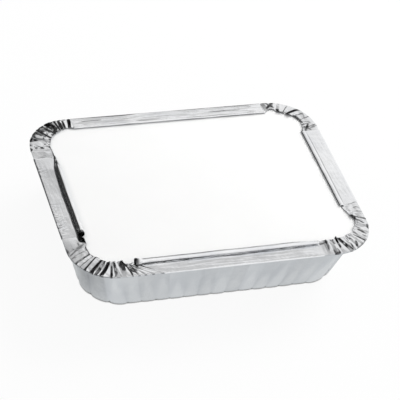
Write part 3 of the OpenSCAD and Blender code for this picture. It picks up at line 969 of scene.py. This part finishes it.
# %% The foil's colour
FOIL_COLOUR_LOW = (0.79, 0.80, 0.82, 1)
FOIL_COLOUR_HIGH = (0.96, 0.963, 0.968, 1)
CLOUD_SCALE = 60.0
CLOUD_SHARE = 0.7
FLUTE_LIGHT_SHARE = 0.45
HOLLOW_SHADE_REACH = 2.0
HOLLOW_SHADE_OPEN = (0.02, 0.22)
HOLLOW_SHADE_COLOUR = (0.02, 0.02, 0.022, 1)
SHADE_GRAIN = 520.0
SHADE_GRAIN_SHARES = (0.8, 1.0, 0.38, 0.55)
foil_material, tree = new_material("rolled_foil")
coords = place_on(tree)
clouds = spread(tree, noise(tree, coords, CLOUD_SCALE), 0.5 - CLOUD_SHARE / 2, 0.5 + CLOUD_SHARE / 2)
# Painted highlight and shade: the flute mark lightens the crests of the flutes and darkens the notches
# between them.
cloud_and_flute_light = maths(tree, "MULTIPLY_ADD", mark_on(tree, "flute"), FLUTE_LIGHT_SHARE, clouds, clamp=True)
metal_colour = blended(tree, cloud_and_flute_light, FOIL_COLOUR_LOW, FOIL_COLOUR_HIGH)
# Painted shade: nearly black where the mesh's shade mark says so, and in hollows that an ambient occlusion
# node finds.
grain = spread(tree, noise(tree, coords, SHADE_GRAIN, 1.0), *SHADE_GRAIN_SHARES)
not_shaded = spread(tree, times(tree, mark_on(tree, "painted_shade"), grain), 1.0, 0.0, 0.0, 1.0)
open_to_light = spread(tree, openness(tree, HOLLOW_SHADE_REACH, own=True), 0.0, 1.0, *HOLLOW_SHADE_OPEN)
foil_colour = blended(tree, times(tree, open_to_light, not_shaded), HOLLOW_SHADE_COLOUR, metal_colour)
print("foil colour:", len(tree.nodes), "nodes, from", FOIL_COLOUR_LOW[:3], "to", FOIL_COLOUR_HIGH[:3])

# %% The foil's surface: rolling lines, dents, wrinkles and streaks
FOIL_ROUGHNESS = (0.13, 0.22)
ROUGHNESS_SCALE = 130.0
ROLLING_MM, DENT_MM, WRINKLE_MM, STREAK_MM = 0.004, 0.10, 0.25, 0.08
ROLLING_SCALE = (60.0, 2600.0, 60.0)
DENT_SCALE = 160.0
WRINKLE_SCALE = (0.9, 0.12, 0.0)
WRINKLE_FADE = (0.5, 6.0)
PATCH_SCALE = (0.03, 0.0, 0.0)
PATCH_RANGE = (0.45, 0.62)
STREAK_SCALE = (0.05, 0.6, 0.0)
sheet = node(tree, "ShaderNodeAttribute", attribute_name="sheet").outputs["Vector"]
inward = node(tree, "ShaderNodeSeparateXYZ", Vector=sheet).outputs["Y"]
rolling = noise(tree, scaled(tree, coords, ROLLING_SCALE), detail=1.0)
dimples = noise(tree, coords, DENT_SCALE, 1.5)
strokes = spread(tree, noise(tree, scaled(tree, sheet, WRINKLE_SCALE)), -1.0, 1.0)
near_edge = spread(tree, inward, 1.0, 0.0, *WRINKLE_FADE)
patches = spread(tree, noise(tree, scaled(tree, sheet, PATCH_SCALE), detail=0.0), 0.0, 1.0, *PATCH_RANGE)
wrinkles = times(tree, times(tree, strokes, mark_on(tree, "wrinkle")), times(tree, near_edge, patches))
streaks = spread(tree, noise(tree, scaled(tree, sheet, STREAK_SCALE), detail=1.0), -1.0, 1.0)
streaks = times(tree, streaks, mark_on(tree, "streak"))
surface = bumps(tree, (rolling, ROLLING_MM), (dimples, DENT_MM), (wrinkles, WRINKLE_MM),
                (streaks, STREAK_MM))
roughness = spread(tree, noise(tree, coords, ROUGHNESS_SCALE, 3.0), *FOIL_ROUGHNESS)
shader = node(tree, "ShaderNodeBsdfPrincipled", Metallic=1.0, Roughness=roughness, Normal=surface,
              **{"Base Color": foil_colour})
give_finish(foil, foil_material, shader.outputs[0])
print("foil finish:", len(tree.nodes), "nodes, roughness", FOIL_ROUGHNESS)

# %% [markdown]
# ## The card's finish
#
# The card is coated white board: almost no colour, a dull sheen, and a very fine grain that only shows close
# to. Its colour is kept just under white, so that soft shadows beside the curls can still be seen on it.
# Light reaches the last few millimetres beside a curl badly, and a node that measures this greys them.

# %% The card
CARD_COLOUR_LOW = (0.93, 0.93, 0.925, 1)
CARD_COLOUR_HIGH = (0.97, 0.97, 0.965, 1)
CARD_CLOUD_SCALE = 45.0
CARD_ROUGHNESS = 0.62
CARD_SPECULAR = 0.35
SHADOW_REACH = 4.5
SHADOW_OPEN = (0.25, 0.95)
SHADOW_COLOUR = (0.60, 0.61, 0.63, 1)
FIBRE_SCALE = (900.0, 2200.0, 900.0)
FIBRE_MM = 0.012
card_material, tree = new_material("white_card")
coords = place_on(tree)
card_colour = blended(tree, noise(tree, coords, CARD_CLOUD_SCALE), CARD_COLOUR_LOW, CARD_COLOUR_HIGH)
beside = spread(tree, openness(tree, SHADOW_REACH), 0.0, 1.0, *SHADOW_OPEN)
card_colour = blended(tree, beside, SHADOW_COLOUR, card_colour)
fibre = noise(tree, scaled(tree, coords, FIBRE_SCALE), detail=3.0)
surface = bumps(tree, (fibre, FIBRE_MM))
shader = node(tree, "ShaderNodeBsdfPrincipled", Roughness=CARD_ROUGHNESS, Normal=surface,
              **{"Base Color": card_colour, "Specular IOR Level": CARD_SPECULAR})
give_finish(lid, card_material, shader.outputs[0])
print("card finish:", len(tree.nodes), "nodes")

# %% [markdown]
# ## The studio
#
# The photograph has a pure white ground. The floor is white and mostly shines by itself for the camera, so
# that it is white without extra light on the tray, but it still takes a little shadow, and its glow is
# dimmed within a millimetre of the tray, a painted contact shadow. The world is plain white for what the
# camera, the metal and clear things see, and a bit dimmer as a light on matt things.
#
# Foil in an all-white room has no form, because every fold mirrors the same white. Photographers stand dark
# cards round shiny things for this. These are seen only in reflections: a tall dark one on the left, a low
# one behind and a tall one on the camera's side, all with uneven dark patches, and a grey one behind that
# gets lighter to one side, which the flat flaps mirror. To the metal the floor is a dimmer, slightly bluish
# glow, painted shade for the floor beside the tray: darker at the left, from the tray's left end on, where
# the tray's own shadow would fall from the soft light at the right, and dimmed next to the tray, a painted
# contact shadow. It is darker still far from the tray, because the table of a real studio ends there.

# %% The floor, as the camera sees it
WHITE = (1, 1, 1, 1)
FLOOR_SIZE = 6.0
FLOOR_COLOUR = (0.9, 0.9, 0.9, 1)
FLOOR_GLOW = 0.92
CONTACT_REACH = 1.0
CONTACT_SHADOW_GLOW = (0.1, 0.7)
bpy.ops.mesh.primitive_plane_add(size=FLOOR_SIZE, location=(0, 0, 0))
floor = bpy.context.object
floor.name = "floor"
floor_material, tree = new_material("white_floor")
rays = node(tree, "ShaderNodeLightPath").outputs
contact = openness(tree, CONTACT_REACH)
matt = node(tree, "ShaderNodeBsdfDiffuse", Color=FLOOR_COLOUR).outputs[0]
# Painted contact shadow: the glow is dimmed where the tray stands within a millimetre.
glow = node(tree, "ShaderNodeEmission", Color=WHITE, Strength=spread(tree, contact, 0.0, 1.0, *CONTACT_SHADOW_GLOW))
clear_view = maths(tree, "ADD", rays["Is Camera Ray"], rays["Is Transmission Ray"], clamp=True)
glow_share = times(tree, clear_view, FLOOR_GLOW)
seen_floor = plugged(tree, node(tree, "ShaderNodeMixShader"), glow_share, matt, glow.outputs[0])
print("floor", FLOOR_SIZE, "m wide, glow", FLOOR_GLOW, "for the camera")

# %% The floor, as the metal mirrors it
FLOOR_IN_METAL = (0.95, 0.98, 1.0, 1)
METAL_GLOW_FAR = 0.06
METAL_GLOW_LEFT = 0.50
METAL_GLOW_RIGHT = 0.66
LEFT_EDGE = (-0.080, -0.064)
TABLE_END = (0.13, 0.20)
CONTACT_IN_METAL = 0.6
floor_place = node(tree, "ShaderNodeSeparateXYZ", Vector=place_on(tree)).outputs
# Painted shadow in what the metal mirrors: a dimmer, bluish glow, darker at the tray's left end and dimmed
# next to the tray.
left_shadow_glow = spread(tree, floor_place["X"], METAL_GLOW_LEFT, METAL_GLOW_RIGHT, *LEFT_EDGE)
away = maths(tree, "MAXIMUM", times(tree, floor_place["X"], -1.0), floor_place["Y"])
to_table_end = spread(tree, away, 1.0, METAL_GLOW_FAR, *TABLE_END)
tray_contact_shadow = spread(tree, contact, CONTACT_IN_METAL, 1.0, 0.0, 1.0)
mirrored_level = times(tree, times(tree, left_shadow_glow, to_table_end), tray_contact_shadow)
mirrored = node(tree, "ShaderNodeEmission", Color=FLOOR_IN_METAL, Strength=mirrored_level).outputs[0]
by_ray = plugged(tree, node(tree, "ShaderNodeMixShader"), rays["Is Glossy Ray"], seen_floor, mirrored)
give_finish(floor, floor_material, by_ray)
print("floor in the metal:", METAL_GLOW_LEFT, "at the left,", METAL_GLOW_RIGHT, "at the right")

# %% The world
FILL_LIGHT = 0.60
world = bpy.data.worlds.new("studio")
bpy.context.scene.world = world
world.use_nodes = True
tree = world.node_tree
tree.nodes.clear()
rays = node(tree, "ShaderNodeLightPath").outputs
seen = maths(tree, "MAXIMUM", rays["Is Camera Ray"], rays["Is Glossy Ray"])
seen = maths(tree, "MAXIMUM", seen, rays["Is Transmission Ray"])
level = spread(tree, seen, FILL_LIGHT, 1.0, 0.0, 1.0)
background = node(tree, "ShaderNodeBackground", Color=WHITE, Strength=level)
node(tree, "ShaderNodeOutputWorld", Surface=background.outputs[0])
print("world: 1.0 to the camera and the metal,", FILL_LIGHT, "as a light")

# %% The dark cards and the grey one
CARD_DISTANCE = 2.4
CARD_STEPS = 24
DARK_CARDS = {
    "left_card": (90, 215, 2, 68), "low_back_card": (66, 90, 2, 24), "camera_card": (215, 283, 12, 70),
}
DARK_CARD_GLOW = (0.005, 0.08)
DARK_PATCH_SCALE = 1.6
BACK_CARD = (20, 89, 28, 60)
BACK_CARD_SLOPE = (0.40, 0, -0.78)
BACK_CARD_RANGE = (-1.142, -0.712)
BACK_CARD_GREYS = (0.55, 0.98)


def studio_card(name, first_turn, last_turn, low, high):
    """A curved card between two bearings (from +X towards +Y) and two heights, in degrees."""
    turns = np.radians(np.linspace(first_turn, last_turn, CARD_STEPS))
    reach = CARD_DISTANCE / MM
    card_points = []
    for height in np.radians([low, high]):
        flat_reach = reach * math.cos(height)
        card_points += [(flat_reach * math.cos(t), flat_reach * math.sin(t), reach * math.sin(height))
                        for t in turns]
    card = make_object(name, card_points, [(k, k + 1, CARD_STEPS + k + 1, CARD_STEPS + k)
                                           for k in range(CARD_STEPS - 1)])
    for seen_by in ("camera", "diffuse", "transmission", "shadow"):
        setattr(card, f"visible_{seen_by}", False)
    material, tree = new_material(name)
    glow = node(tree, "ShaderNodeEmission", Color=WHITE)
    give_finish(card, material, glow.outputs[0])
    return tree, glow.inputs["Strength"]


for name, sizes in DARK_CARDS.items():
    tree, strength = studio_card(name, *sizes)
    plug(tree, spread(tree, noise(tree, place_on(tree), DARK_PATCH_SCALE, 3.0), *DARK_CARD_GLOW), strength)

tree, strength = studio_card("back_card", *BACK_CARD)
slope = node(tree, "ShaderNodeVectorMath", operation="DOT_PRODUCT")
plugged(tree, slope, place_on(tree), BACK_CARD_SLOPE)
plug(tree, spread(tree, slope.outputs["Value"], *BACK_CARD_GREYS, *BACK_CARD_RANGE), strength)
print("cards:", list(DARK_CARDS), "and the grey one behind")

# %% [markdown]
# ## The soft light
#
# One large soft lamp stands at the right behind the tray. It lights the card from the far side, and lays a
# faint shadow beside the curls and at the foot. A small lamp would cut hard edges into the shadow. The metal
# doesn't mirror this one, because a bright square in the foil would give it away.

# %% The soft light
LIGHT_POWER = 29.0
LIGHT_SIZE = (1.1, 0.9)
LIGHT_PLACE = Vector((1.25, 0.80, 0.86))
light_data = bpy.data.lights.new("softbox", "AREA")
light_data.shape = "RECTANGLE"
light_data.size, light_data.size_y = LIGHT_SIZE
light_data.energy = LIGHT_POWER
softbox = bpy.data.objects.new("softbox", light_data)
bpy.context.scene.collection.objects.link(softbox)
softbox.location = LIGHT_PLACE
softbox.rotation_euler = (-LIGHT_PLACE).to_track_quat("-Z", "Y").to_euler()
softbox.visible_glossy = False
print("softbox of", LIGHT_POWER, "W at", tuple(round(v, 2) for v in LIGHT_PLACE))

# %% [markdown]
# ## The camera
#
# The view was worked out from the outline of the rim and the foot in the photograph. The camera looks down
# at about 40 degrees from the front left with a long lens, and is rolled by ten degrees, so the tray seems
# to tip to the right.

# %% The camera
CAMERA_AIM = Vector((-2.76, -12.59, 33.0)) * MM
CAMERA_DISTANCE = 0.9987
CAMERA_BEARING = math.radians(23.64)
CAMERA_HEIGHT = math.radians(40.50)
CAMERA_ROLL = math.radians(10.30)
CAMERA_LENS = 165.35
CAMERA_SENSOR = 36.0
gaze = Vector((
    math.sin(CAMERA_BEARING) * math.cos(CAMERA_HEIGHT),
    math.cos(CAMERA_BEARING) * math.cos(CAMERA_HEIGHT),
    -math.sin(CAMERA_HEIGHT),
))
camera_data = bpy.data.cameras.new("camera")
camera_data.lens = CAMERA_LENS
camera_data.sensor_width = CAMERA_SENSOR
camera = bpy.data.objects.new("camera", camera_data)
bpy.context.scene.collection.objects.link(camera)
camera.location = CAMERA_AIM - gaze * CAMERA_DISTANCE
camera.rotation_mode = "QUATERNION"
camera.rotation_quaternion = gaze.to_track_quat("-Z", "Y") @ Quaternion((0, 0, 1), CAMERA_ROLL)
bpy.context.scene.camera = camera
bpy.context.scene.view_settings.view_transform = "Standard"
print("camera at", [round(v, 4) for v in camera.location])
